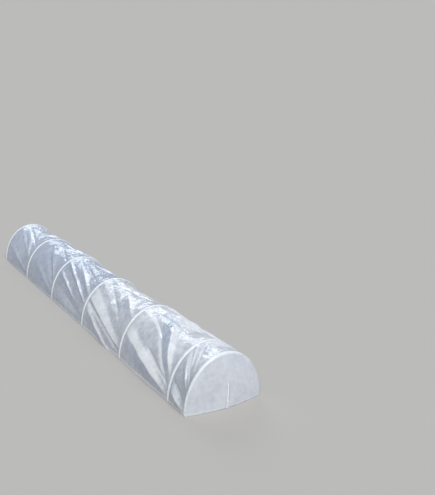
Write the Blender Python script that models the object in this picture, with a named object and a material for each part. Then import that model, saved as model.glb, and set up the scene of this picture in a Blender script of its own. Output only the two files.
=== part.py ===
"""Row cover tunnel: seven wire hoops in film pockets, six bays of clear film, two end panels and their stakes.

Metres. Y runs along the tunnel from front to back, Z is up, and the origin is the soil under the middle.
"""

import math

import bmesh
import bpy

BAY_LENGTH = 0.567  # from one hoop to the next
FRONT_BAY_LENGTH = 0.165  # the first two hoops stand closer together
HOOP_COUNT = 7
HOOP_SPAN = 0.45  # between the two feet of a hoop, wire centre to wire centre
HOOP_HEIGHT = 0.285  # soil to the wire's centre at the crest
LEG_DEPTH = 0.12  # how far each leg goes into the soil
WIRE_DIAMETER = 0.006  # steel wire with its white coat
SEAM_GAP = 0.0003  # between pieces that touch

POCKET_WIDTH = 0.02  # of the film pocket that holds a hoop, weld to weld
POCKET_CLEARANCE = 0.00035  # between a wire and the film round it
POCKET_WALL = 0.0002

FILM_THICKNESS = 0.00015
SAME_POINT = 0.000001  # corners of the film closer than this are one
BAY_SAG = 0.02  # how far the film hangs in, half way between two hoops
FRONT_BAY_SAG = 0.007
SIDE_SAG_SHARE = 0.55  # of the sag, at the hem
FOLD_DEPTH = 0.02  # of the folds that fan out from the feet of a hoop
FOLD_REACH = 0.2  # distance from the foot at which a fold is deepest
RIDGE_SPREAD_SHARE = 0.06  # half width of a fold, as a share of a right angle
# The folds of each bay, front to back: their slopes, as shares of a right angle up from the hem
FOLD_SLOPE_SHARES = ((0.62,), (0.15, 0.27, 0.8), (0.13, 0.24, 0.42), (0.3, 0.46), (0.2, 0.55), (0.25, 0.6))

END_BULGE = 0.03  # how far the foot of an end panel stands out
END_PANEL_ROWS = 4
STAKE_DIAMETER = 0.006
STAKE_TOP = 0.14  # above the soil
STAKE_DEPTH = 0.12  # in the soil
STAKE_ROUNDING_SHARE = 0.6  # of the stake's radius, at its top
STAKE_POCKET_WIDTH = 0.016
STAKE_POCKET_HEIGHT = 0.045

ARCH_STEPS = 24  # facets round half an ellipse, of a hoop, a pocket or an end panel
BAY_ARCH_STEPS = 32  # the same round a bay of film
BAY_STEPS = 11  # facets along a full bay
FRONT_BAY_STEPS = 3
ROUND_SIDES = 8
WIRE_RESOLUTION = 2  # gives the wire eight sides

BAY_COUNT = HOOP_COUNT - 1
TUNNEL_LENGTH = FRONT_BAY_LENGTH + (BAY_COUNT - 1) * BAY_LENGTH  # front hoop to back hoop
RIGHT_ANGLE = math.pi / 2
HALF_TURN = math.pi


def clear_scene():
    for thing in list(bpy.data.objects):
        bpy.data.objects.remove(thing, do_unlink=True)


def make_material(name, colour, roughness, alpha=1.0):
    material = bpy.data.materials.new(name)
    material.use_nodes = True
    material.diffuse_color = (*colour, alpha)
    shader = material.node_tree.nodes["Principled BSDF"]
    shader.inputs["Base Color"].default_value = (*colour, 1.0)
    shader.inputs["Roughness"].default_value = roughness
    shader.inputs["Metallic"].default_value = 0.0
    shader.inputs["Alpha"].default_value = alpha
    return material


def place(name, data, material, y):
    """Adds an object at a place along the middle of the tunnel, on the soil line."""
    thing = bpy.data.objects.new(name, data)
    thing.location.y = y
    if not data.materials:
        data.materials.append(material)
    bpy.context.scene.collection.objects.link(thing)
    return thing


def arch_point(turn, inset=0.0):
    """(x, z) on a hoop's centre line, turned from its left foot over the crest, and drawn in by inset."""
    return -(HOOP_SPAN / 2 - inset) * math.cos(turn), (HOOP_HEIGHT - inset) * math.sin(turn)


def arch_outward(turn):
    """The unit (x, z) that points out of the arch, square to the wire."""
    x, z = -math.cos(turn) * HOOP_HEIGHT, math.sin(turn) * HOOP_SPAN / 2
    return x / math.hypot(x, z), z / math.hypot(x, z)


def arch_turns(steps=ARCH_STEPS):
    return [HALF_TURN * step / steps for step in range(steps + 1)]


def arch_length():
    points = [arch_point(turn) for turn in arch_turns()]
    return sum(math.dist(a, b) for a, b in zip(points, points[1:]))


def hoop_places():
    """The Y of each hoop, front to back."""
    front = -TUNNEL_LENGTH / 2
    return [front] + [front + FRONT_BAY_LENGTH + BAY_LENGTH * bay for bay in range(BAY_COUNT)]


def mesh_from(name, points, faces):
    work = bmesh.new()
    corners = [work.verts.new(point) for point in points]
    for face in faces:
        work.faces.new([corners[index] for index in face])
    bmesh.ops.remove_doubles(work, verts=work.verts, dist=SAME_POINT)
    bmesh.ops.recalc_face_normals(work, faces=work.faces)
    mesh = bpy.data.meshes.new(name)
    work.to_mesh(mesh)
    work.free()
    mesh.shade_smooth()
    return mesh


def ring_tube(name, rings):
    """A closed wall through rings of equal counts that go out along the outside and back along the bore."""
    count = len(rings[0])
    points = [point for ring in rings for point in ring]
    faces = []
    for ring in range(len(rings)):
        after = (ring + 1) % len(rings)
        for side in range(count):
            beside = (side + 1) % count
            quad = [(ring, side), (ring, beside), (after, beside), (after, side)]
            faces.append([row * count + column for row, column in quad])
    mesh = mesh_from(name, points, faces)
    mesh.set_sharp_from_angle(angle=RIGHT_ANGLE / 2)
    return mesh


def sheet(name, rows):
    """A skin of film through a grid of points, thickened evenly to both sides when it is placed."""
    width = len(rows[0])
    points = [point for row in rows for point in row]
    faces = []
    for row in range(len(rows) - 1):
        for column in range(width - 1):
            start = row * width + column
            faces.append([start, start + 1, start + width + 1, start + width])
    return mesh_from(name, points, faces)


def place_film(name, mesh, material, y):
    film = place(name, mesh, material, y)
    wall = film.modifiers.new("film thickness", "SOLIDIFY")
    wall.thickness = FILM_THICKNESS
    wall.offset = 0.0
    return film


def hoop_curve():
    """One hoop: a leg up out of the soil, the arch, and a leg down again."""
    path = [(-HOOP_SPAN / 2, -LEG_DEPTH)] + [arch_point(turn) for turn in arch_turns()]
    path.append((HOOP_SPAN / 2, -LEG_DEPTH))
    curve = bpy.data.curves.new("hoop", "CURVE")
    curve.dimensions = "3D"
    curve.bevel_depth = WIRE_DIAMETER / 2
    curve.bevel_resolution = WIRE_RESOLUTION
    curve.use_fill_caps = True
    spline = curve.splines.new("POLY")
    spline.points.add(len(path) - 1)
    spline.use_smooth = True
    for point, (x, z) in zip(spline.points, path):
        point.co = (x, 0.0, z, 1.0)
    return curve


def pocket_oval(width, wire, wall_in):
    """(along, across) points round a flat film pocket, drawn in by part or all of its wall."""
    half_width = width / 2 - wall_in
    half_depth = wire / 2 + POCKET_CLEARANCE + POCKET_WALL - wall_in
    angles = [2 * HALF_TURN * side / ROUND_SIDES for side in range(ROUND_SIDES)]
    return [(half_width * math.cos(angle), half_depth * math.sin(angle)) for angle in angles]


def hoop_pocket_mesh():
    """The film pocket that runs along one hoop from soil to soil, open at both ends."""
    def rings(wall_in):
        oval = pocket_oval(POCKET_WIDTH, WIRE_DIAMETER, wall_in)
        found = []
        for turn in arch_turns():
            (x, z), (out_x, out_z) = arch_point(turn), arch_outward(turn)
            found.append([(x + out_x * across, along, z + out_z * across) for along, across in oval])
        return found

    return ring_tube("hoop_pocket", rings(0.0) + rings(POCKET_WALL)[::-1])


def stake_pocket_mesh():
    """The short upright pocket on an end panel, open above and below."""
    def rings(wall_in):
        oval = pocket_oval(STAKE_POCKET_WIDTH, STAKE_DIAMETER, wall_in)
        return [[(x, y, z) for x, y in oval] for z in (0.0, STAKE_POCKET_HEIGHT)]

    return ring_tube("stake_pocket", rings(0.0) + rings(POCKET_WALL)[::-1])


def stake_mesh():
    """A straight stake with its top rounded over and its lower end cut square."""
    work = bmesh.new()
    bmesh.ops.create_cone(
        work,
        cap_ends=True,
        segments=ROUND_SIDES,
        radius1=STAKE_DIAMETER / 2,
        radius2=STAKE_DIAMETER / 2,
        depth=STAKE_TOP + STAKE_DEPTH,
    )
    bmesh.ops.translate(work, verts=work.verts, vec=(0.0, 0.0, (STAKE_TOP - STAKE_DEPTH) / 2))
    top = [edge for edge in work.edges if all(corner.co.z > 0.0 for corner in edge.verts)]
    rounding = STAKE_DIAMETER / 2 * STAKE_ROUNDING_SHARE
    bmesh.ops.bevel(work, geom=top, offset=rounding, segments=2, profile=0.5, affect="EDGES")
    mesh = bpy.data.meshes.new("stake")
    work.to_mesh(mesh)
    work.free()
    mesh.shade_smooth()
    mesh.set_sharp_from_angle(angle=RIGHT_ANGLE / 2)
    return mesh


def fold_depth(along, up, slopes):
    """How far the folds that fan out from one foot draw the film in, at a place on the laid-out bay."""
    reach = math.hypot(along, up) / FOLD_REACH
    slope = math.atan2(up, along) / RIGHT_ANGLE
    swell = reach * math.exp(1 - reach)
    waves = [math.exp(-(((slope - ridge) / RIDGE_SPREAD_SHARE) ** 2)) for ridge in slopes]
    return FOLD_DEPTH * swell * sum(waves)


def bay_mesh(name, length, steps, sag, slopes):
    """The film between two hoops: it hangs in between them, and folds fan out from the feet of the front one."""
    start = POCKET_WIDTH / 2 + SEAM_GAP
    reach = length - 2 * start
    girth = arch_length()
    rows = []
    for step in range(steps + 1):
        share = step / steps
        free = math.sin(HALF_TURN * share)
        row = []
        for turn in arch_turns(BAY_ARCH_STEPS):
            height = math.sin(turn)
            hang = sag * free * (SIDE_SAG_SHARE + (1 - SIDE_SAG_SHARE) * height)
            up = girth * min(turn, HALF_TURN - turn) / HALF_TURN
            fold = fold_depth(share * reach, up, slopes) * free
            x, z = arch_point(turn, hang + fold)
            row.append((x, start + share * reach, z))
        rows.append(row)
    return sheet(name, rows)


def end_panel_mesh(name, outward):
    """The film that closes one end: flush with the hoop's pocket at its rim, and bellied out at its foot."""
    rim = POCKET_WIDTH / 2 + SEAM_GAP
    rows = []
    for row in range(END_PANEL_ROWS + 1):
        rise = row / END_PANEL_ROWS
        points = []
        for turn in arch_turns():
            x, crown = arch_point(turn)
            belly = END_BULGE * (1 - rise**3) * math.sin(turn) ** 2
            points.append((x, outward * (rim + belly), crown * rise))
        rows.append(points)
    return sheet(name, rows)


def stake_stand_off():
    """From the end hoop's centre to the stake's, outwards."""
    pocket_half = STAKE_DIAMETER / 2 + POCKET_CLEARANCE + POCKET_WALL
    return POCKET_WIDTH / 2 + SEAM_GAP + END_BULGE + FILM_THICKNESS / 2 + SEAM_GAP + pocket_half


def build_tunnel():
    coated_wire = make_material("coated_wire", (0.86, 0.88, 0.88), 0.35)
    pocket_film = make_material("pocket_film", (0.82, 0.85, 0.87), 0.3, alpha=0.75)
    clear_film = make_material("clear_film", (0.74, 0.77, 0.81), 0.25, alpha=0.45)
    places = hoop_places()

    wire, pocket = hoop_curve(), hoop_pocket_mesh()
    for number, y in enumerate(places, start=1):
        place(f"hoop_{number}", wire, coated_wire, y)
        place(f"hoop_pocket_{number}", pocket, pocket_film, y)

    for number, slopes in enumerate(FOLD_SLOPE_SHARES, start=1):
        name = f"cover_bay_{number}"
        if number == 1:
            mesh = bay_mesh(name, FRONT_BAY_LENGTH, FRONT_BAY_STEPS, FRONT_BAY_SAG, slopes)
        else:
            mesh = bay_mesh(name, BAY_LENGTH, BAY_STEPS, BAY_SAG, slopes)
        place_film(name, mesh, clear_film, places[number - 1])

    stake, stake_pocket = stake_mesh(), stake_pocket_mesh()
    for end, y, outward in (("front", places[0], -1), ("back", places[-1], 1)):
        stand = y + outward * stake_stand_off()
        place_film(f"end_panel_{end}", end_panel_mesh(f"end_panel_{end}", outward), clear_film, y)
        place(f"stake_{end}", stake, coated_wire, stand)
        place(f"stake_pocket_{end}", stake_pocket, pocket_film, stand)


clear_scene()
build_tunnel()
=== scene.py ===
import math

import bmesh
import bpy
import numpy as np
from mathutils import Matrix, Vector, noise


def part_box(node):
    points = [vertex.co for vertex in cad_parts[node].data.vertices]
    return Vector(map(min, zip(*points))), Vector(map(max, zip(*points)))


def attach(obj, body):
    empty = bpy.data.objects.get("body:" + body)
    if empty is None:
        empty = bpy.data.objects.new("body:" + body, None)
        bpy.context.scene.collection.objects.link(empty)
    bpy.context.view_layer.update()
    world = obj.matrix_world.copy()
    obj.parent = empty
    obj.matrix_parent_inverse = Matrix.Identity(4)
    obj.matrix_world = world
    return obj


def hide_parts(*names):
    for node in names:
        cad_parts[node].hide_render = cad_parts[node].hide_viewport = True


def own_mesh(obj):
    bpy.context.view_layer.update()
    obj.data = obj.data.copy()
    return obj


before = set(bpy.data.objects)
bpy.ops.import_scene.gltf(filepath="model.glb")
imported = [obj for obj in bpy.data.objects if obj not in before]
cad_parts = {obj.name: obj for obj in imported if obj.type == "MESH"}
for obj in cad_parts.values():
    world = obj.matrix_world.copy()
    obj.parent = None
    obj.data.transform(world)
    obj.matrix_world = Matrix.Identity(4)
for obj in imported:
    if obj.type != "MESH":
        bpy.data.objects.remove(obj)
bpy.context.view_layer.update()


# The viewpoint of the photograph: 1.6 m above the soil, in front of the tunnel's front end and to the
# left of it, looking down along it. The place and the angles come from fitting a camera to the hoops.
EYE = Vector((-1.648, -3.807, 1.582))
EYE_TURN, EYE_TILT, EYE_LEAN = (math.radians(angle) for angle in (34.37, 15.1, 2.41))
RIGHT_ANGLE = math.pi / 2
LENS_MM, SENSOR_MM = 45.44, 36.0

camera_data = bpy.data.cameras.new("viewpoint")
camera_data.lens = LENS_MM
camera_data.sensor_width = SENSOR_MM
camera = bpy.data.objects.new("viewpoint", camera_data)
camera.matrix_world = (
    Matrix.Translation(EYE)
    @ Matrix.Rotation(-EYE_TURN, 4, "Z")
    @ Matrix.Rotation(RIGHT_ANGLE - EYE_TILT, 4, "X")
    @ Matrix.Rotation(EYE_LEAN, 4, "Z")
)
bpy.context.scene.collection.objects.link(camera)
bpy.context.scene.camera = camera


# The seven hoops: 6 mm wire bent to half an ellipse with two straight legs. It is steel in a smooth
# white plastic coat, cut square at the ends, where the steel shows. The legs are pushed into the soil.
HOOP_COUNT = 7
HOOP_BODIES = (
    "front_end", "second_hoop", "third_hoop", "fourth_hoop", "fifth_hoop", "sixth_hoop", "back_end",
)
ARCH_FACETS, WIRE_SIDES = 64, 16
SMOOTH_ANGLE = RIGHT_ANGLE / 2  # edges turned further than this stay sharp
COAT_WALL = 0.001
LEVEL = 0.0001  # places this close in height are level with each other
LOOKS_DOWN = -0.9  # the height of a face's normal, under which it looks down

CLEAN_WHITES = (0.9, 0.91, 0.92), (0.96, 0.96, 0.95)
SOIL_BROWN = (0.2, 0.14, 0.09)
SPLASH_LOW, SPLASH_HIGH = -0.002, 0.014  # up to the first height the coat is soiled, from the second clean
SPLASH_SHARE = 0.55  # how far the soil covers the white
SMEARS_PER_METRE = 90
SOILED_SMEARS, TINTED_SMEARS, DULL_SMEARS = (0.35, 0.7), (0.3, 0.7), (0.2, 0.9)  # from none to full
COAT_ROUGHNESS, SMEAR_DULLING, SOIL_DULLING = 0.24, 0.2, 0.4
DRAWN_LINES_PER_METRE, DRAWN_LINE_DEPTH, DRAWN_LINE_STRENGTH = 700, 0.0002, 0.4
DRAWN_GRAIN = (1, 1, 0.25)
STEEL_GREYS = (0.42, 0.4, 0.38), (0.6, 0.59, 0.57)
SAW_MARKS_PER_METRE, SAW_GRAIN = 900, (1, 6, 1)
CUT_ROUGHNESS, SAW_DULLING = 0.3, 0.3

hoop_low, hoop_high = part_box("hoop_1")
WIRE = hoop_high.y - hoop_low.y
HALF_SPAN = (hoop_high.x - hoop_low.x - WIRE) / 2
HOOP_HEIGHT = hoop_high.z - WIRE / 2
LEG_DEPTH = -hoop_low.z
hoop_boxes = [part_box(f"hoop_{number}") for number in range(1, HOOP_COUNT + 1)]
hoop_places = [(low.y + high.y) / 2 for low, high in hoop_boxes]


class Signal:
    """The number or colour that leaves one node, for sums written as Python expressions."""

    def __init__(self, finish, socket):
        self.finish, self.socket = finish, socket

    def sum(self, operation, first, second):
        return self.finish.add("ShaderNodeMath", {"operation": operation}, {0: first, 1: second})

    def __add__(self, other):
        return self.sum("ADD", self, other)

    def __sub__(self, other):
        return self.sum("SUBTRACT", self, other)

    def __rsub__(self, other):
        return self.sum("SUBTRACT", other, self)

    def __mul__(self, other):
        return self.sum("MULTIPLY", self, other)


class Finish:
    """A material in the making."""

    def __init__(self, name, **constants):
        self.material = bpy.data.materials.new(name)
        self.material.use_nodes = True
        self.tree = self.material.node_tree
        self.shader = self.tree.nodes["Principled BSDF"]
        for channel, value in constants.items():
            self.socket(channel).default_value = value

    def socket(self, channel):
        """The shader's own socket of that name, such as base_color."""
        wanted = channel.replace("_", " ")
        return next(socket for socket in self.shader.inputs if socket.name.lower() == wanted)

    def add(self, kind, settings, sockets, output=0):
        """A node of that kind: its settings first, then the values or links of its sockets."""
        node = self.tree.nodes.new(kind)
        for setting, value in settings.items():
            setattr(node, setting, value)
        for socket, value in sockets.items():
            self.set(node.inputs[socket], value)
        return Signal(self, node.outputs[output])

    def set(self, socket, value):
        if isinstance(value, Signal):
            self.tree.links.new(value.socket, socket)
        else:
            socket.default_value = value

    def drive(self, **channels):
        """Links what changes over the surface to the shader's own sockets."""
        for channel, value in channels.items():
            self.set(self.socket(channel), value)

    def place(self, grain=(1, 1, 1)):
        """Where a point of the piece is, in metres. A grain below 1 draws a pattern out along that axis."""
        here = self.add("ShaderNodeTexCoord", {}, {}, "Object")
        return self.add("ShaderNodeMapping", {}, {"Vector": here, "Scale": grain})

    def cloud(self, place, per_metre, detail, kind="FBM"):
        sockets = {"Vector": place, "Scale": per_metre, "Detail": detail}
        return self.add("ShaderNodeTexNoise", {"noise_type": kind}, sockets)

    def spread(self, signal, low, high):
        """0 up to low, 1 from high, and a straight climb between them."""
        sockets = {"Value": signal, "From Min": low, "From Max": high}
        return self.add("ShaderNodeMapRange", {"clamp": True}, sockets)

    def tint(self, share, *colours):
        """One colour turning into another."""
        first, second = (shade if isinstance(shade, Signal) else (*shade, 1) for shade in colours)
        return self.add("ShaderNodeMix", {"data_type": "RGBA"}, {0: share, 6: first, 7: second}, 2)

    def bump(self, height, depth, strength=1.0):
        return self.add("ShaderNodeBump", {}, {"Height": height, "Distance": depth, "Strength": strength})


def white_coat():
    """White plastic drawn over steel wire: faintly uneven in gloss, with a little soil at the foot."""
    coat = Finish("white_coat")
    here = coat.place()
    smears = coat.cloud(here, SMEARS_PER_METRE, detail=4)
    height = coat.add("ShaderNodeSeparateXYZ", {}, {"Vector": here}, "Z")
    low_down = 1 - coat.spread(height, SPLASH_LOW, SPLASH_HIGH)
    soiled = low_down * coat.spread(smears, *SOILED_SMEARS) * SPLASH_SHARE
    white = coat.tint(coat.spread(smears, *TINTED_SMEARS), *CLEAN_WHITES)
    dulled = coat.spread(smears, *DULL_SMEARS) * SMEAR_DULLING
    drawn_lines = coat.cloud(coat.place(DRAWN_GRAIN), DRAWN_LINES_PER_METRE, detail=2)
    coat.drive(
        base_color=coat.tint(soiled, white, SOIL_BROWN),
        roughness=dulled + COAT_ROUGHNESS + soiled * SOIL_DULLING,
        normal=coat.bump(drawn_lines, DRAWN_LINE_DEPTH, DRAWN_LINE_STRENGTH),
    )
    return coat.material


def cut_steel():
    """The sawn end of the wire."""
    steel = Finish("cut_steel", metallic=1.0)
    saw_marks = steel.cloud(steel.place(SAW_GRAIN), SAW_MARKS_PER_METRE, detail=3)
    steel.drive(
        base_color=steel.tint(saw_marks, *STEEL_GREYS),
        roughness=saw_marks * SAW_DULLING + CUT_ROUGHNESS,
    )
    return steel.material


def select_corners(piece, wanted):
    """Selects the corners whose place passes the test. The piece is open for editing."""
    work = bmesh.from_edit_mesh(piece.data)
    for corner in work.verts:
        corner.select = wanted(corner.co)
    work.select_flush_mode()
    bmesh.update_edit_mesh(piece.data)


def open_arch(name, facets):
    """A chain of corners along the hoop's centre line from foot to foot, at y = 0, open for editing."""
    bpy.ops.object.select_all(action="DESELECT")
    bpy.ops.mesh.primitive_circle_add(vertices=2 * facets, radius=HALF_SPAN, rotation=(RIGHT_ANGLE, 0, 0))
    arch = bpy.context.object
    arch.name = arch.data.name = name
    bpy.ops.object.transform_apply(location=True, rotation=True, scale=True)
    bpy.ops.object.mode_set(mode="EDIT")
    bpy.ops.transform.resize(value=(1, 1, HOOP_HEIGHT / HALF_SPAN), center_override=(0, 0, 0))
    select_corners(arch, lambda place: place.z < -LEVEL)
    bpy.ops.mesh.delete(type="VERT")
    return arch


def bare_the_ends(wire, foot):
    """Insets the faces cut square at the foot's height and shows the steel inside the coat there."""
    bpy.ops.object.mode_set(mode="EDIT")
    bpy.ops.mesh.select_mode(type="FACE")
    work = bmesh.from_edit_mesh(wire.data)
    for face in work.faces:
        face.select = face.normal.z < LOOKS_DOWN and face.calc_center_median().z < foot + LEVEL
    bmesh.update_edit_mesh(wire.data)
    bpy.ops.mesh.inset(thickness=COAT_WALL)
    work = bmesh.from_edit_mesh(wire.data)
    for face in work.faces:
        face.material_index = int(face.select)
    bmesh.update_edit_mesh(wire.data)
    bpy.ops.mesh.select_mode(type="VERT")
    bpy.ops.object.mode_set(mode="OBJECT")


def finish_wire(wire, foot):
    """The coat, the bare steel of the cut ends, and smooth shading round the wire."""
    wire.data.materials.append(white_coat_finish)
    wire.data.materials.append(cut_steel_finish)
    bare_the_ends(wire, foot)
    bpy.ops.object.shade_smooth_by_angle(angle=SMOOTH_ANGLE)


def copy_to(model, name, y):
    """A copy of a model made at y = 0, with its own mesh, moved to its place along the tunnel."""
    piece = bpy.data.objects.new(name, model.data.copy())
    piece.data.name = name
    piece.data.transform(Matrix.Translation((0, y, 0)))
    bpy.context.scene.collection.objects.link(piece)
    return piece


white_coat_finish = white_coat()
cut_steel_finish = cut_steel()

hoop_model = open_arch("hoop_model", ARCH_FACETS)
select_corners(hoop_model, lambda place: place.z < LEVEL)
bpy.ops.mesh.extrude_region_move(TRANSFORM_OT_translate={"value": (0, 0, -LEG_DEPTH)})
bpy.ops.object.mode_set(mode="OBJECT")
bpy.ops.object.convert(target="CURVE")
hoop_model.data.bevel_depth = WIRE / 2
hoop_model.data.bevel_resolution = WIRE_SIDES // 2 - 2
hoop_model.data.use_fill_caps = True
bpy.ops.object.convert(target="MESH")
finish_wire(hoop_model, -LEG_DEPTH)

for number, (body, y) in enumerate(zip(HOOP_BODIES, hoop_places), start=1):
    hoop = copy_to(hoop_model, f"hoop_wire_{number}", y)
    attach(hoop, body)
    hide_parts(f"hoop_{number}")
bpy.data.objects.remove(hoop_model)


# The hoop sleeves: a strip of film laid under the cover at each hoop and welded down both its edges,
# so that the wire can be pushed through. Two layers of film look milkier than one, and pucker a little.
SLEEVE_FACETS = 200
SLEEVE_STATIONS = 12  # across each of the two layers
SLEEVE_WALL = 0.0002
WELD_MARGIN = 0.002  # flat film at each edge of the sleeve
WELD_LIFT = 0.00025  # half the thickness of the weld
SLEEVE_ROOM = 0.0003  # between the wire and the film over it
SAME_POINT = 0.00001  # corners closer than this are one
PUCKER_SIZE, PUCKER_DEPTH = 0.02, 0.0009
PUCKER_MEAN_SHARE = 0.4  # of the puckers' depth, by which the film stands off everywhere
WANDER_SHARE, WANDER_PACE = 0.12, 0.7  # how far the edges wander, and how often beside the puckers

HOOP_SLEEVE_SHADES = (0.88, 0.92, 0.96), (0.95, 0.97, 1.0)
SLEEVE_CLOUDS_PER_METRE, PULLS_PER_METRE = 60, 260
PULL_GRAIN, PULL_RELIEF, PULL_STRENGTH = (1, 0.2, 1), 0.0006, 0.6
SLEEVE_CLOUD_SHARE, SLEEVE_WHITENING = 0.6, (0.35, 0.65)  # the rest are pulls; white from the second value
SLEEVE_COVER, WHITE_COVER = 0.62, 0.2  # the opacity of the two layers, and what the white adds to it
SLEEVE_ROUGHNESS, SLEEVE_DULLING, SLEEVE_IOR = 0.14, 0.2, 1.8

sleeve_low, sleeve_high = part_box("hoop_pocket_1")
SLEEVE_HALF = (sleeve_high.y - sleeve_low.y) / 2


def milky_film(name, shades):
    """Two layers of soft film with a weld at each side: whitish, with bright pulls along the weld."""
    film = Finish(name, ior=SLEEVE_IOR)
    clouds = film.cloud(film.place(), SLEEVE_CLOUDS_PER_METRE, detail=3)
    pulls = film.cloud(film.place(PULL_GRAIN), PULLS_PER_METRE, detail=2)
    mixed = clouds * SLEEVE_CLOUD_SHARE + pulls * (1 - SLEEVE_CLOUD_SHARE)
    white = film.spread(mixed, *SLEEVE_WHITENING)
    film.drive(
        base_color=film.tint(white, *shades),
        alpha=white * WHITE_COVER + SLEEVE_COVER,
        roughness=clouds * SLEEVE_DULLING + SLEEVE_ROUGHNESS,
        normal=film.bump(pulls, PULL_RELIEF, PULL_STRENGTH),
    )
    return film.material


def arch_turn(place):
    """How far round the arch a place is, from 0 at the left foot to half a turn at the right one."""
    return math.atan2(place.z / HOOP_HEIGHT, -place.x / HALF_SPAN)


def sleeve_stations():
    """(along, out) round the sleeve: over the wire and back under it, flat at both welds."""
    def lift(along):
        room = SLEEVE_HALF - WELD_MARGIN
        bow = max(0.0, 1 - (along / room) ** 2)
        return WELD_LIFT + (WIRE / 2 + SLEEVE_ROOM) * math.sqrt(bow)

    turns = [math.pi * step / SLEEVE_STATIONS for step in range(SLEEVE_STATIONS + 1)]
    alongs = [-SLEEVE_HALF * math.cos(turn) for turn in turns]
    over = [(along, lift(along)) for along in alongs]
    under = [(along, -lift(along)) for along in reversed(alongs)]
    return over + under


def thicken(piece, wall):
    """Gives a skin the film's thickness, evenly to both sides, and applies it."""
    bpy.ops.object.select_all(action="DESELECT")
    bpy.context.view_layer.objects.active = piece
    piece.select_set(True)
    solid = piece.modifiers.new("film", "SOLIDIFY")
    solid.thickness = wall
    solid.offset = 0.0
    bpy.ops.object.modifier_apply(modifier=solid.name)
    piece.data.shade_smooth()


def weld_to_one_skin(piece, wall):
    """Closes a skin's seams, turns its faces out and gives it the film's thickness."""
    bpy.ops.mesh.select_all(action="SELECT")
    bpy.ops.mesh.remove_doubles(threshold=SAME_POINT)
    bpy.ops.mesh.normals_make_consistent(inside=False)
    bpy.ops.object.mode_set(mode="OBJECT")
    thicken(piece, wall)


def pucker(sleeve, number, y):
    """Ruffles the layer over the wire, lets both edges wander a little and keeps the ends above the soil."""
    for corner in sleeve.data.vertices:
        turn = arch_turn(corner.co)
        outward = Vector((-math.cos(turn) * HOOP_HEIGHT, 0, math.sin(turn) * HALF_SPAN)).normalized()
        centre = Vector((-math.cos(turn) * HALF_SPAN, y, math.sin(turn) * HOOP_HEIGHT))
        above = (corner.co - centre).dot(outward)
        across = abs(corner.co.y - y) / SLEEVE_HALF
        pull = noise.noise(corner.co / PUCKER_SIZE + Vector((0, 0, number)))
        if above > 0:
            corner.co += outward * PUCKER_DEPTH * (PUCKER_MEAN_SHARE + pull) * max(0.0, 1 - across)
        wander = noise.noise(corner.co / PUCKER_SIZE * WANDER_PACE)
        corner.co.y += (corner.co.y - y) * WANDER_SHARE * wander
        corner.co.z = max(corner.co.z, 0.0)


sleeve_film_finish = milky_film("sleeve_film", HOOP_SLEEVE_SHADES)
stations = sleeve_stations()
sleeve_model = open_arch("sleeve_model", SLEEVE_FACETS)
first_along = stations[0][0]
bpy.ops.mesh.select_all(action="SELECT")
bpy.ops.transform.translate(value=(0, first_along, 0))
for (was_along, was_out), (along, out) in zip(stations, stations[1:] + stations[:1]):
    bpy.ops.mesh.extrude_region_move(TRANSFORM_OT_translate={"value": (0, along - was_along, 0)})
    wider = (HALF_SPAN + out) / (HALF_SPAN + was_out)
    taller = (HOOP_HEIGHT + out) / (HOOP_HEIGHT + was_out)
    bpy.ops.transform.resize(value=(wider, 1, taller), center_override=(0, 0, 0))
weld_to_one_skin(sleeve_model, SLEEVE_WALL)
sleeve_model.data.materials.append(sleeve_film_finish)

for number, (body, y) in enumerate(zip(HOOP_BODIES, hoop_places), start=1):
    sleeve = copy_to(sleeve_model, f"hoop_sleeve_{number}", y)
    pucker(sleeve, number, y)
    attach(sleeve, body)
    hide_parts(f"hoop_pocket_{number}")
bpy.data.objects.remove(sleeve_model)


# The cover: one long sheet of soft clear film, hung over the hoops and welded to their sleeves, made
# here bay by bay. It sags a little between the hoops, and long folds fan out from the feet of the
# nearer hoop, where it is pulled down to the soil. A narrow turned hem runs along both sides.
FILM_WALL = 0.00015
FILM_STEP = 0.0038  # between the corners of the film
GIRTH_STEPS = 400  # for measuring the arch
BAY_SAG, FULL_SAG_LENGTH = 0.02, 0.5  # the sag of a bay at least that long
SIDE_SAG_SHARE = -0.3  # of the sag, at the hem, which lies a little outside the feet of the hoops
HEM, HEM_EDGE = 0.014, 0.002  # the hem's width, and how soft its inner edge looks
SEAM_REACH, SOIL_REACH = 0.03, 0.05  # how far from a weld and from the soil the film takes to move freely
PULL_DEPTH, PULL_SHARE, PULL_START, PULL_REACH = 0.0025, 0.05, 0.1, 0.35  # fine, fanning out from the feet
PULL_PACE = 2  # how fast a pull changes along its length
GATHER_SIZE, GATHER_DEPTH, GATHER_REACH = 0.022, 0.0028, 0.05  # small folds beside a weld
GATHER_GRAIN = (0.25, 1, 1)
CRUMPLE_SIZE, CRUMPLE_DEPTH, CRUMPLE_GRAIN = 0.08, 0.007, (1, 0.7, 1)
CRINKLE_SIZE, CRINKLE_DEPTH, CRINKLE_VALLEY = 0.04, 0.009, 0.1  # flat-sided bumps along the crest
CRINKLE_WARP_SIZE, CRINKLE_WARP = 0.12, 0.05  # how far the bumps are drawn out of shape
PATCH_SIZE, PATCH_CONTRAST = 0.16, 1.2  # the patches where the bumps are, which also carry painted glints and shade
PAINTED_SHADE_SIZE, PAINTED_SHADE_CONTRAST, PAINTED_SHADE_SHARE = 0.1, 1.6, 0.6  # patches of painted shade near the crest
PATCH_CREST_POWER, TONE_CREST_POWER = 5, 4  # how closely the patches and the painted light and shade keep to the crest

# Where each pattern starts in the noise, times the number of the bay
PULL_SEED, CRUMPLE_SEED, GATHER_SEED = 4.3, 7.3, 5.7
CRINKLE_SEED, WARP_SEEDS, PATCH_SEED, PAINTED_SHADE_SEED = 3.1, (1.7, 2.9), 9.1, 6.1

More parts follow.
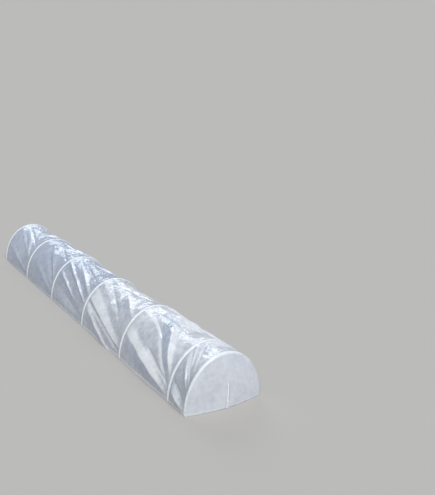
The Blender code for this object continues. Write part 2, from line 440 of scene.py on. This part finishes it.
FOOT_SPREAD_SHARE = 0.25  # a fold's width at the foot that it starts from
EDGE_ROUNDING = 0.0025  # how rounded a fold's edge is
FACE_SOFTNESS_SHARE = 0.12  # how softly its faces run out
SWELL_START_SHARE, SWELL_LENGTH_SHARE, SWELL_POWER = 0.1, 0.78, 0.7  # of half a wave, along the edge
CREASE_WIDTH, FULL_CREASE_HEIGHT = 0.004, 0.012  # a fold that high creases the film fully
# The painted light and painted shade on the two faces of a fold:
FACE_TURN = 0.008  # across the edge, from the bright face to the dim one
FULL_FACE_HEIGHT, FACE_FILL = 0.02, 3  # a fold that high has fully bright and dim faces
BRIGHT_OVER_DIM = 0.5  # how much of a dim face a bright one hides where folds cross

# Each fold: where its edge starts and ends, as shares of the bay's length and of the way up to the
# crest, how far the edge stands out (or in, below zero), and how wide its faces are above and below.
FOLDS = (
    (
        (0.0, 0.04, 1.0, 0.18, 0.014, 0.030, 0.05),
        (0.0, 0.10, 1.0, 0.30, -0.010, 0.014, 0.02),
        (0.0, 0.24, 0.9, 0.64, 0.010, 0.010, 0.03),
        (0.0, 0.32, 0.9, 0.72, -0.012, 0.016, 0.012),
        (0.3, 0.46, 0.95, 0.82, 0.012, 0.014, 0.014),
        (0.1, 0.5, 0.9, 0.98, -0.009, 0.014, 0.014),
    ),
    (
        (0.0, 0.07, 1.0, 0.39, 0.018, 0.060, 0.10),
        (0.0, 0.16, 0.5, 0.37, -0.012, 0.014, 0.02),
        (0.0, 0.28, 0.52, 0.97, 0.022, 0.05, 0.13),
        (0.0, 0.12, 0.64, 0.82, -0.009, 0.05, 0.03),
        (0.5, 0.66, 0.86, 0.88, -0.008, 0.04, 0.03),
    ),
    (
        (0.0, 0.13, 1.0, 0.48, 0.018, 0.09, 0.030),
        (0.0, 0.05, 1.0, 0.40, -0.014, 0.026, 0.016),
        (0.28, 0.01, 1.0, 0.33, 0.012, 0.024, 0.08),
        (0.0, 0.58, 0.42, 0.86, 0.012, 0.05, 0.10),
        (0.3, 0.5, 0.9, 0.9, -0.008, 0.05, 0.06),
    ),
    (
        (0.4, 0.30, 1.0, 0.54, 0.012, 0.014, 0.04),
        (0.0, 0.33, 1.0, 0.77, 0.016, 0.018, 0.03),
        (0.0, 0.48, 0.7, 0.84, 0.014, 0.04, 0.07),
        (0.0, 0.10, 0.9, 0.28, -0.005, 0.05, 0.06),
        (0.3, 0.8, 0.8, 0.98, -0.012, 0.04, 0.03),
    ),
    (
        (0.0, 0.30, 0.75, 0.88, 0.008, 0.07, 0.05),
        (0.0, 0.20, 0.5, 0.60, -0.006, 0.04, 0.05),
        (0.0, 0.10, 0.7, 0.35, 0.004, 0.03, 0.06),
        (0.0, 0.70, 0.6, 0.97, -0.008, 0.03, 0.03),
    ),
    (
        (0.0, 0.3, 0.7, 0.85, 0.006, 0.04, 0.05),
        (0.05, 0.3, 0.5, 0.94, -0.007, 0.03, 0.05),
        (0.0, 0.08, 0.8, 0.3, 0.005, 0.03, 0.06),
        (0.2, 0.4, 0.95, 0.75, 0.006, 0.03, 0.03),
        (0.1, 0.6, 0.9, 0.95, -0.006, 0.03, 0.03),
    ),
)
RIGHT_SIDE_FOLDS = (1, 4, 5, 6, 2, 3)  # the bay whose folds each bay repeats on its other side
BAY_PAINTED_LIGHT = (0.04, 0.24, 0.12, -0.36, -0.75, -0.8)  # painted light on each bay, or painted shade below zero
CREST_PAINTED_LIGHT = (0.45, 0.3, 0.05, -0.8, -0.85, -0.3)  # what is added to that along its crest: painted highlight above zero, painted shade below

# Of these marks, lit is painted light and dim is painted shade
FILM_MARKS = ("creased", "lit", "dim", "hemmed", "crumpled")
COVER_SHADE, COVER_MILKINESS, COVER_WRINKLING = (0.6, 0.66, 0.77), 0.2, 0.5
# The white of milky film, creases, hem and painted light, and the colour of painted shade
MILKY_AND_LIT_WHITE, DEEP_SHADE = (0.94, 0.96, 0.99), (0.38, 0.46, 0.6)
CLOUDS_PER_METRE, MOTTLE_PER_METRE = 7, 38
WRINKLES_PER_METRE, WRINKLE_GRAIN, WRINKLE_RELIEF = 20, (1, 0.6, 1), 0.0015
FLAT_SIDES_PER_METRE, FLAT_SIDE_GRAIN, FLAT_SIDE_RELIEF = 34, (1, 0.7, 1), 3
# The glints are painted: random cells of crumpled film, some whiter, the rest in painted shade
GLINTS_PER_METRE, GLINT_GRAIN, GLINT_BLUR, GLINT_SHARE = 44, (1, 0.55, 1), 0.16, 0.8
HAZE_COVER, MARK_COVER, EDGE_COVER = 0.12, 0.17, 0.6  # what each adds to the film's opacity
CLOUD_SHARE, HAZE_SPREAD, GLINT_SPREAD = 0.5, (0.38, 0.62), (0.32, 0.68)  # the rest of the haze is mottle
# Creases whiten partly as the film does where it is creased, partly as painted highlight
HAZE_WHITENING, CREASE_WHITENING = 0.4, 0.6
# How deep the painted shade of dim faces and of dull crumpled cells goes
DIM_SHADING, CRUMPLE_SHADING, FULL_SHADE = 0.5, 0.5, 0.8
FILM_ROUGHNESS, MOTTLE_DULLING, FILM_IOR, EDGE_BLEND = 0.04, 0.16, 2.0, 0.1


def arch_point(turn, inset):
    """(x, z) on the hoop's centre line, drawn in by inset."""
    return -(HALF_SPAN - inset) * np.cos(turn), (HOOP_HEIGHT - inset) * np.sin(turn)


def girth():
    """How far it is round the arch, from foot to foot."""
    turns = np.linspace(0, math.pi, GIRTH_STEPS)
    x, z = arch_point(turns, 0.0)
    return float(np.hypot(np.diff(x), np.diff(z)).sum())


FILM_GIRTH = girth()


def drift(points, size, seed):
    """Smooth noise at each point, about -1 to 1."""
    return np.array([noise.noise(Vector(point) / size + Vector((seed, 0, 0))) for point in points])


def facets(points, size, seed):
    """Flat-sided bumps that meet in sharp valleys, like those of crumpled film, 0 to about 1."""
    found = []
    for point in points:
        distances, _ = noise.voronoi(Vector(point) / size + Vector((seed, 0, 0)))
        found.append(distances[1] - distances[0])
    return np.array(found)


def soft_positive(values, softness):
    """The values above zero, and zero below it, with a rounded turn between."""
    return (values + np.hypot(values, softness)) / 2


def fold_lift(along, up, folds, length):
    """How far the folds lift the film at places on the laid-out bay, how sharply it is creased there,
    and how much painted light a face turned to the sky gets, and painted shade one turned away."""
    lift, sharp, lit, dim = (np.zeros_like(along) for _ in range(4))
    half = FILM_GIRTH / 2
    for start_along, start_up, end_along, end_up, height, above, below in folds:
        start = np.array((start_along * length, start_up * half))
        way = np.array((end_along * length, end_up * half)) - start
        reach = np.hypot(*way)
        way /= reach
        run = (along - start[0]) * way[0] + (up - start[1]) * way[1]
        off = (along - start[0]) * way[1] - (up - start[1]) * way[0]
        share = np.clip(run / reach, 0, 1)
        beyond = np.maximum(np.maximum(-run, run - reach), 0)
        face = np.where(off < 0, above, below) * (FOOT_SPREAD_SHARE + (1 - FOOT_SPREAD_SHARE) * share)
        from_edge = np.hypot(off, EDGE_ROUNDING) - EDGE_ROUNDING
        tent = soft_positive(1 - from_edge / face, FACE_SOFTNESS_SHARE)
        swell = np.sin(math.pi * (SWELL_START_SHARE + SWELL_LENGTH_SHARE * share)) ** SWELL_POWER
        fade = np.exp(-((beyond / (above + below)) ** 2)) * swell
        lift += height * tent * fade
        sharp += np.exp(-((off / CREASE_WIDTH) ** 2)) * fade * abs(height) / FULL_CREASE_HEIGHT
        # Painted light on the face turned to the sky, painted shade on the one turned away
        bright_side = np.clip(0.5 - math.copysign(1, height) * off / FACE_TURN, 0, 1)
        flat_face = np.clip(tent * FACE_FILL, 0, 1) * fade * abs(height) / FULL_FACE_HEIGHT
        lit += flat_face * bright_side
        dim += flat_face * (1 - bright_side)
    return lift, sharp, lit, dim


def clear_film(name, taut_shade, milkiness, wrinkling):
    """Soft clear film gone slightly milky: whiter in the turned hem, and along its creases partly as the
    film's own whitening and partly as painted highlight. Its lit and dim marks paint light and shade,
    and where it is crumpled, random cells over its small flat sides are painted, some as glints and the
    rest in shade."""
    film = Finish(name, ior=FILM_IOR)
    here = film.place()
    clouds = film.cloud(here, CLOUDS_PER_METRE, detail=4)
    mottle = film.cloud(here, MOTTLE_PER_METRE, detail=3)
    haze = film.spread(clouds * CLOUD_SHARE + mottle * (1 - CLOUD_SHARE), *HAZE_SPREAD)
    creased, lit, dim, hemmed, crumpled = (
        film.add("ShaderNodeAttribute", {"attribute_name": mark}, {}, "Fac") for mark in FILM_MARKS
    )
    ridged = {"detail": 2, "kind": "RIDGED_MULTIFRACTAL"}
    wrinkles = film.cloud(film.place(WRINKLE_GRAIN), WRINKLES_PER_METRE, **ridged)
    cells = {"Vector": film.place(FLAT_SIDE_GRAIN), "Scale": FLAT_SIDES_PER_METRE}
    flat_sided = film.add("ShaderNodeTexVoronoi", {"feature": "DISTANCE_TO_EDGE"}, cells)
    # Painted glints: each cell of the crumpled film gets its own random tone
    blended = {"Vector": film.place(GLINT_GRAIN), "Scale": GLINTS_PER_METRE, "Smoothness": GLINT_BLUR}
    cell_tone = film.add("ShaderNodeTexVoronoi", {"feature": "SMOOTH_F1"}, blended, "Color")
    glinting = film.spread(cell_tone, *GLINT_SPREAD) * crumpled * GLINT_SHARE
    edge_on = film.add("ShaderNodeLayerWeight", {}, {"Blend": EDGE_BLEND}, "Facing")
    # Whiter with milkiness, creases and hem, and with painted light and painted glints
    faint = haze * HAZE_WHITENING + creased * CREASE_WHITENING
    white_and_lit = film.spread(faint + lit + hemmed + glinting, 0, 1)
    # Painted shade: on the dim faces, and on the crumpled cells that don't glint
    unlit = (crumpled * GLINT_SHARE - glinting) * CRUMPLE_SHADING
    shade = film.spread(dim * DIM_SHADING + unlit, 0, FULL_SHADE)
    marked = (haze + creased + hemmed) * HAZE_COVER + (lit + dim + crumpled) * MARK_COVER
    film.drive(
        base_color=film.tint(shade, film.tint(white_and_lit, taut_shade, MILKY_AND_LIT_WHITE), DEEP_SHADE),
        alpha=marked + edge_on * EDGE_COVER + milkiness,
        roughness=mottle * MOTTLE_DULLING + FILM_ROUGHNESS,
        normal=film.bump(wrinkles * wrinkling + flat_sided * crumpled * FLAT_SIDE_RELIEF, WRINKLE_RELIEF),
    )
    return film.material


def flat_grid(name, columns, rows):
    """A new piece, one unit square of film, and how far across and up it each corner is, from 0 to 1."""
    bpy.ops.object.select_all(action="DESELECT")
    bpy.ops.mesh.primitive_grid_add(x_subdivisions=columns, y_subdivisions=rows, size=1)
    piece = bpy.context.object
    piece.name = piece.data.name = name
    corners = np.array([corner.co for corner in piece.data.vertices])
    return piece, corners[:, 0] + 0.5, corners[:, 1] + 0.5


def put_corners(piece, x, y, z):
    places = np.stack([x, y, z], 1)
    piece.data.vertices.foreach_set("co", places.ravel().astype(np.float32))


def keep_flat_cut(piece, across, along):
    """Makes the piece's UV map the film as it was cut, laid out flat, in metres."""
    corners = np.array([loop.vertex_index for loop in piece.data.loops])
    laid_out = np.stack([across, along], 1)[corners]
    piece.data.uv_layers.active.data.foreach_set("uv", laid_out.ravel().astype(np.float32))


def mark_film(piece, **marks):
    """Notes at each corner, for the finish, how creased, lit, dim, hemmed and crumpled the film is.
    Lit and dim are painted light and painted shade.
    """
    for name in FILM_MARKS:
        values = marks.get(name, np.zeros(len(piece.data.vertices)))
        attribute = piece.data.attributes.new(name, "FLOAT", "POINT")
        attribute.data.foreach_set("value", np.clip(values, 0, 1).astype(np.float32))


cover_film_finish = clear_film("cover_film", COVER_SHADE, COVER_MILKINESS, COVER_WRINKLING)

for number, (folds, painted_on_bay, painted_on_crest) in enumerate(zip(FOLDS, BAY_PAINTED_LIGHT, CREST_PAINTED_LIGHT), start=1):
    body = HOOP_BODIES[number - 1]
    low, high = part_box(f"cover_bay_{number}")
    start, length = low.y, high.y - low.y
    columns, rows = round(FILM_GIRTH / FILM_STEP), round(length / FILM_STEP)
    bay, round_share, along_share = flat_grid(f"film_bay_{number}", columns, rows)
    along, around = along_share * length, FILM_GIRTH * round_share
    back_around = FILM_GIRTH * (1 - round_share)
    up = FILM_GIRTH * np.minimum(round_share, 1 - round_share)
    turn = math.pi * round_share
    rise = np.sin(turn)
    to_weld = np.minimum(along, length - along)
    free = 1 - np.exp(-to_weld / SEAM_REACH)
    sag = BAY_SAG * min(1.0, length / FULL_SAG_LENGTH) * np.sin(math.pi * along_share)
    hang = sag * (SIDE_SAG_SHARE + (1 - SIDE_SAG_SHARE) * rise)

    left_folds = fold_lift(along, around, folds, length)
    right_folds = fold_lift(along, back_around, FOLDS[RIGHT_SIDE_FOLDS[number - 1] - 1], length)
    lift, sharp, lit, dim = (left + right for left, right in zip(left_folds, right_folds))
    slope, reach = np.arctan2(up, along) / RIGHT_ANGLE, np.hypot(along, up)
    pull_place = np.stack([slope / PULL_SHARE, reach * PULL_PACE, round_share > 0.5], 1)
    pulls = PULL_DEPTH * drift(pull_place, 1.0, number * PULL_SEED) * np.exp(-reach / PULL_REACH)
    lift += pulls * np.clip(reach / PULL_START, 0, 1)

    laid = np.stack([along, around, np.zeros_like(along)], 1)
    crumple = CRUMPLE_DEPTH * drift(laid * CRUMPLE_GRAIN, CRUMPLE_SIZE, number * CRUMPLE_SEED)
    patches = np.clip(0.5 + PATCH_CONTRAST * drift(laid, PATCH_SIZE, number * PATCH_SEED), 0, 1)
    crumpled = patches * rise**PATCH_CREST_POWER
    warps = [drift(laid, CRINKLE_WARP_SIZE, number * seed) for seed in WARP_SEEDS]
    warped = laid + CRINKLE_WARP * np.stack(warps + [0 * along], 1)
    bumps = facets(warped, CRINKLE_SIZE, number * CRINKLE_SEED)
    valleys = crumpled * np.exp(-((bumps / CRINKLE_VALLEY) ** 2))
    gather = GATHER_DEPTH * drift(laid * GATHER_GRAIN, GATHER_SIZE, number * GATHER_SEED)
    gather *= np.exp(-to_weld / GATHER_REACH)
    loose = (crumple + CRINKLE_DEPTH * crumpled * bumps) * np.clip(up / SOIL_REACH, 0, 1)
    x, z = arch_point(turn, hang - (lift + loose + gather) * free)
    put_corners(bay, x, start + along, np.maximum(z, 0.0))
    keep_flat_cut(bay, around, along)

    # Painted light, or painted shade below zero, on the bay and more so along its crest
    near_crest = rise**TONE_CREST_POWER
    tone = painted_on_bay + painted_on_crest * near_crest
    # Patches of painted shade near the crest
    painted_shade_patches = np.clip(PAINTED_SHADE_CONTRAST * drift(laid, PAINTED_SHADE_SIZE, number * PAINTED_SHADE_SEED), 0, 1) * near_crest
    # The lit and dim marks carry the painted light and painted shade
    mark_film(
        bay,
        creased=(sharp + valleys) * free,
        lit=lit * free + np.maximum(tone, 0),
        dim=(dim - lit * BRIGHT_OVER_DIM) * free + PAINTED_SHADE_SHARE * painted_shade_patches + np.maximum(-tone, 0),
        hemmed=(HEM - up) / HEM_EDGE,
        crumpled=crumpled,
    )
    bay.data.flip_normals()
    bay.data.materials.append(cover_film_finish)
    thicken(bay, FILM_WALL)
    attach(bay, body)
    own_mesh(bay)
    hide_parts(f"cover_bay_{number}")


# The end panels: a D of the same film, welded all round the arch to the end sleeve and loose at the
# foot, where it bellies out over the soil. The weld is turned double, so it shows as a pale seam, and
# a short pleat is drawn into the film on the right of each stake, seen from outside, with painted shade
# along it.
PANEL_COLUMNS, PANEL_ROWS = 150, 60
# The panel's film is the cover's, made lighter and milkier as painted light on the panel
LIT_PANEL_SHADE, PANEL_MILKINESS, PANEL_WRINKLING = (0.77, 0.80, 0.87), 0.5, 0.35
SEAM_ALLOWANCE, SEAM_EDGE = 0.008, 0.002  # the seam's width at the crest, and how soft its inner edge looks
SEAM_SIDE_SHARE, SEAM_SIDE_POWER = 0.15, 8  # what is left of that width low down, and how soon
PANEL_CRUMPLE_SIZE, PANEL_CRUMPLE_DEPTH, PANEL_CRUMPLE_REACH = 0.07, 0.002, 0.04
PANEL_CRUMPLE_GRAIN, PANEL_CRUMPLE_SEED = (1, 1, 0.5), 2.0
PANEL_FOLD_SIZE, PANEL_FOLD_DEPTH, PANEL_FOLD_REACH = 0.05, 0.003, 0.06  # upright, as the film hangs
PANEL_FOLD_GRAIN, PANEL_FOLD_SEED = (1, 1, 0.15), 5.0
ENDS_APART = 3.0  # between the two ends' patterns in the noise
PANEL_HEM_SHARE = 0.3  # how pale the hem at the foot is beside the seam
BELLY_CLIMB_POWER, BELLY_ACROSS_POWER = 3, 2  # how the bulge dies down upwards and sideways
PANEL_ENDS = (("front", "front_end", hoop_places[0], -1), ("back", "back_end", hoop_places[-1], 1))
# The pleat beside each stake, whose inner side is painted in shade
PLEAT_PLACE, PLEAT_WIDTH, PLEAT_DEPTH = 0.009, 0.0055, 0.004  # the first from the middle of the stake
PLEAT_FOOT, PLEAT_FOOT_FADE, PLEAT_TOP_FADE = 0.025, 0.02, 0.01  # where it starts, and how it runs out

panel_low, panel_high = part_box("end_panel_front")
PANEL_RIM = hoop_places[0] - panel_high.y
BELLY = panel_high.y - panel_low.y
STAKE_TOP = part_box("stake_front")[1].z

panel_film_finish = clear_film("panel_film", LIT_PANEL_SHADE, PANEL_MILKINESS, PANEL_WRINKLING)

for end, body, y, outward in PANEL_ENDS:
    panel, round_share, climb = flat_grid(f"end_film_{end}", PANEL_COLUMNS, PANEL_ROWS)
    turn = math.pi * round_share
    x, crown = arch_point(turn, 0.0)
    z = crown * climb
    to_seam = np.minimum(crown - z, HALF_SPAN - np.abs(x))
    belly = BELLY * (1 - climb**BELLY_CLIMB_POWER) * np.sin(turn) ** BELLY_ACROSS_POWER
    flat_place = np.stack([x, np.full_like(x, outward * ENDS_APART), z], 1)
    crumple = drift(flat_place * PANEL_CRUMPLE_GRAIN, PANEL_CRUMPLE_SIZE, PANEL_CRUMPLE_SEED)
    crumple = PANEL_CRUMPLE_DEPTH * crumple * np.clip(to_seam / PANEL_CRUMPLE_REACH, 0, 1)
    hanging = drift(flat_place * PANEL_FOLD_GRAIN, PANEL_FOLD_SIZE, PANEL_FOLD_SEED)
    hanging = PANEL_FOLD_DEPTH * hanging * np.clip(to_seam / PANEL_FOLD_REACH, 0, 1)
    pleat_and_shade = np.exp(-(((-outward * x - PLEAT_PLACE) / PLEAT_WIDTH) ** 2))
    pleat_and_shade = pleat_and_shade * np.clip((STAKE_TOP - z) / PLEAT_TOP_FADE, 0, 1)
    pleat_and_shade = pleat_and_shade * np.clip((z - PLEAT_FOOT) / PLEAT_FOOT_FADE, 0, 1)
    out = PANEL_RIM + belly + crumple + hanging - PLEAT_DEPTH * pleat_and_shade
    put_corners(panel, x, y + outward * out, z)

    seam_width = SEAM_ALLOWANCE * (SEAM_SIDE_SHARE + (1 - SEAM_SIDE_SHARE) * np.sin(turn) ** SEAM_SIDE_POWER)
    seam = np.clip((seam_width - to_seam) / SEAM_EDGE, 0, 1)
    hem = np.clip((HEM - z) / HEM_EDGE, 0, 1)
    # The pleat's inner side is painted in shade, and the seam and hem whiter
    mark_film(panel, dim=pleat_and_shade, hemmed=np.maximum(seam, PANEL_HEM_SHARE * hem))
    panel.data.materials.append(panel_film_finish)
    bpy.ops.object.mode_set(mode="EDIT")
    weld_to_one_skin(panel, FILM_WALL)
    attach(panel, body)
    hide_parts(f"end_panel_{end}")


# The two stakes: short straight lengths of the same coated wire, rounded over at the top and cut
# square below. Each is pushed through the pocket at the foot of its end panel into the soil.
STAKE_SIDES = 24
TOP_ROUNDING_SHARE, TOP_SEGMENTS = 0.6, 5  # of the stake's radius, and the facets over the rounding

for end, body in (("front", "front_stake"), ("back", "back_stake")):
    low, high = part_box(f"stake_{end}")
    middle, size = (low + high) / 2, high - low
    bpy.ops.object.select_all(action="DESELECT")
    bpy.ops.mesh.primitive_cylinder_add(
        vertices=STAKE_SIDES, radius=size.x / 2, depth=size.z, location=middle
    )
    stake = bpy.context.object
    stake.name = stake.data.name = f"stake_wire_{end}"
    bpy.ops.object.transform_apply(location=True, rotation=True, scale=True)
    bpy.ops.object.mode_set(mode="EDIT")
    select_corners(stake, lambda place: place.z > high.z - LEVEL)
    bpy.ops.mesh.bevel(offset=size.x / 2 * TOP_ROUNDING_SHARE, segments=TOP_SEGMENTS, affect="EDGES")
    bpy.ops.object.mode_set(mode="OBJECT")
    finish_wire(stake, low.z)
    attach(stake, body)
    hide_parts(f"stake_{end}")


# The stake sleeves: a short tube of film welded to the foot of each end panel, open above and below,
# in which the stake slides. Its film is milkier than the panel's, so the stake looks veiled in it, and
# painted a little greyer than the hoop sleeves', as painted shade, so it doesn't stand out.
STAKE_SLEEVE_SIDES, STAKE_SLEEVE_STEPS = 40, 15
STAKE_SLEEVE_SHADES = (0.8, 0.83, 0.89), (0.87, 0.9, 0.95)
stake_sleeve_finish = milky_film("stake_sleeve_film", STAKE_SLEEVE_SHADES)

for end, body in (("front", "front_end"), ("back", "back_end")):
    low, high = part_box(f"stake_pocket_{end}")
    middle, size = (low + high) / 2, high - low
    foot = (middle.x, middle.y, low.z)
    bpy.ops.object.select_all(action="DESELECT")
    bpy.ops.mesh.primitive_circle_add(vertices=STAKE_SLEEVE_SIDES, radius=size.x / 2, location=foot)
    sleeve = bpy.context.object
    sleeve.name = sleeve.data.name = f"stake_sleeve_{end}"
    bpy.ops.object.transform_apply(location=True, rotation=True, scale=True)
    bpy.ops.object.mode_set(mode="EDIT")
    bpy.ops.transform.resize(value=(1, size.y / size.x, 1), center_override=foot)
    step_up = (0, 0, size.z / STAKE_SLEEVE_STEPS)
    for step in range(STAKE_SLEEVE_STEPS):
        bpy.ops.mesh.extrude_region_move(TRANSFORM_OT_translate={"value": step_up})
    weld_to_one_skin(sleeve, SLEEVE_WALL)
    sleeve.data.materials.append(stake_sleeve_finish)
    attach(sleeve, body)
    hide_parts(f"stake_pocket_{end}")


# The studio: a plain pale floor at the level of the soil, a pale surround, and soft daylight from
# above and in front, as on the overcast day of the photograph.
FLOOR_DROP, FLOOR_SIZE = 0.0008, 200.0
FLOOR_SHADE, FLOOR_ROUGHNESS = (0.452, 0.432, 0.407), 0.9
SKY_SHADE, SKY_STRENGTH = (0.8, 0.88, 1.0), 0.4
SEEN_RAYS = ("Is Camera Ray", "Is Glossy Ray", "Is Transmission Ray")  # those that meet the backdrop

# Each lamp: its strength, how many degrees wide it looks, the way towards it and its colour
LAMPS = {
    "overcast_sun": (2.85, 54, (-0.22, -0.58, 0.79), (0.98, 0.99, 1.0)),
    "sky_beyond": (0.55, 29, (0.25, 0.80, 0.55), (0.85, 0.93, 1.0)),
}

bpy.ops.object.select_all(action="DESELECT")
bpy.ops.mesh.primitive_plane_add(size=FLOOR_SIZE, location=(0, 0, -FLOOR_DROP))
floor = bpy.context.object
floor.name = "floor"
floor_finish = Finish(
    "floor", base_color=(*FLOOR_SHADE, 1), roughness=FLOOR_ROUGHNESS, specular_ior_level=0.0
)
floor.data.materials.append(floor_finish.material)


def distant_light(name, strength, width, towards, colour):
    """A soft light from far away. Returns how brightly it lights the level floor, which is even all over."""
    light = bpy.data.lights.new(name, "SUN")
    light.energy, light.angle, light.color = strength, math.radians(width), colour
    lamp = bpy.data.objects.new(name, light)
    lamp.rotation_euler = Vector(towards).to_track_quat("Z", "Y").to_euler()
    bpy.context.scene.collection.objects.link(lamp)
    slant = Vector(towards).normalized().z
    return np.array(colour) * strength * slant / math.pi


class Surround(Finish):
    """The world in the making, with nodes added as in a material."""

    def __init__(self, name):
        self.world = bpy.data.worlds.new(name)
        self.world.use_nodes = True
        self.tree = self.world.node_tree

    def glow(self, colour, strength):
        return self.add("ShaderNodeBackground", {}, {"Color": (*colour, 1), "Strength": strength})


on_floor = np.array(SKY_SHADE) * SKY_STRENGTH
for name, lamp_values in LAMPS.items():
    on_floor += distant_light(name, *lamp_values)

surround = Surround("surround")
bpy.context.scene.world = surround.world
sky = surround.glow(SKY_SHADE, SKY_STRENGTH)
backdrop = surround.glow(on_floor * FLOOR_SHADE, 1.0)
rays = [surround.add("ShaderNodeLightPath", {}, {}, ray) for ray in SEEN_RAYS]
seen = rays[0]
for ray in rays[1:]:
    seen = seen.sum("MAXIMUM", seen, ray)
choice = surround.add("ShaderNodeMixShader", {}, {0: seen, 1: sky, 2: backdrop})
surround.set(surround.tree.nodes["World Output"].inputs["Surface"], choice)

bpy.context.scene.view_settings.view_transform = "Standard"
